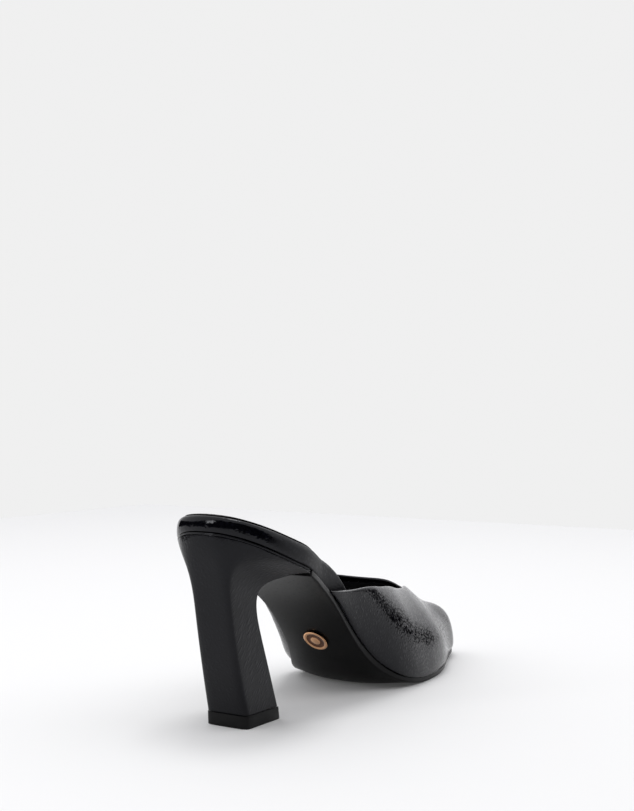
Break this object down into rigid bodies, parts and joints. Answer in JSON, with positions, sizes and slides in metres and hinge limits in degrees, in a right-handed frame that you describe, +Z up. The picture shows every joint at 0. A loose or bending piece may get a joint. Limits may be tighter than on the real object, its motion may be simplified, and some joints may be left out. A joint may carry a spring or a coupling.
{
  "type": "high heel shoe",
  "caption": "Closed-toe mule pump with a slim block heel, a wrapped footbed, a hollow V-throat vamp and a flat sole, for the left foot.",
  "frame": {"origin": "the middle of the heel's top piece, on the floor", "axes": "the toe points along -Y and the back of the heel along +Y, -X is the inner side of the foot, +Z is up"},
  "size_m": [0.077, 0.2389, 0.0987],
  "materials": {
    "outsole": "matt black",
    "footbed": "black patent, wrapped over a board",
    "sock_lining": "smooth black lining",
    "upper": "black crinkled patent",
    "heel_cover": "black patent, covered",
    "top_piece": "matt black",
    "badge": "polished rose gold colour"
  },
  "bodies": {
    "root": {"outsole": "outsole", "footbed": "footbed", "sock_lining": "sock_lining", "upper": "upper", "heel": "heel_cover", "top_piece": "top_piece", "sole_badge": "badge"}
  },
  "joints": []
}
